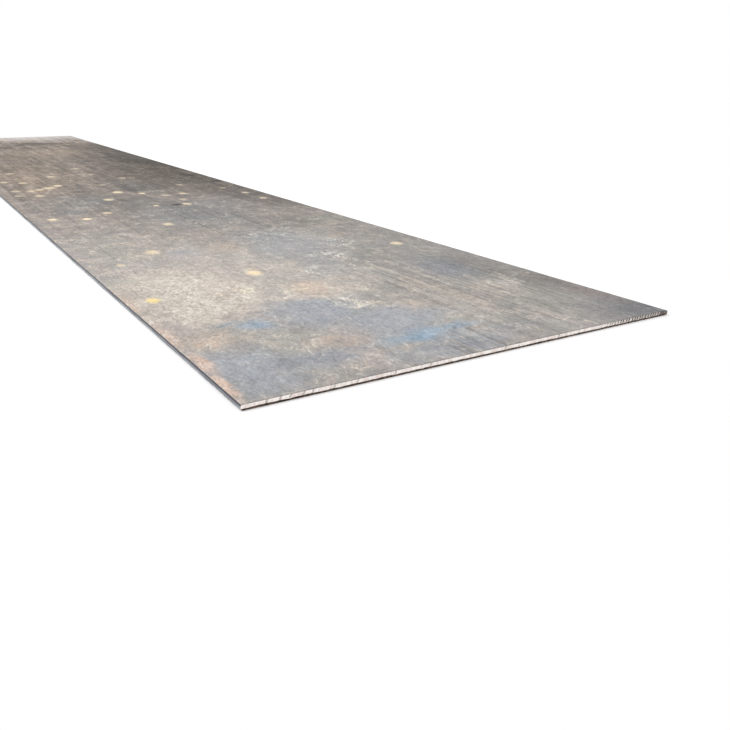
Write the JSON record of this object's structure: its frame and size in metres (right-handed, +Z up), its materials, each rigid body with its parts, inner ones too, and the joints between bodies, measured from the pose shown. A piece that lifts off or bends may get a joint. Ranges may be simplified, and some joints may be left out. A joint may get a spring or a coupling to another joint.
{
  "type": "steel plate",
  "caption": "Flat hot-rolled steel plate with rounded mill edges along its sides and square sheared ends, stock for cutting, bending and welding.",
  "frame": {"origin": "under the middle of the plate, on the plane that its lower skin lies on", "axes": "+X across the width, +Y along the rolling direction towards the back end, +Z up through the thickness"},
  "size_m": [1.5, 9, 0.016],
  "materials": {
    "mill_scale": "hot-rolled mill scale with rust bloom, bright on the sheared ends"
  },
  "bodies": {
    "root": {"steel_plate": "mill_scale"}
  },
  "joints": []
}
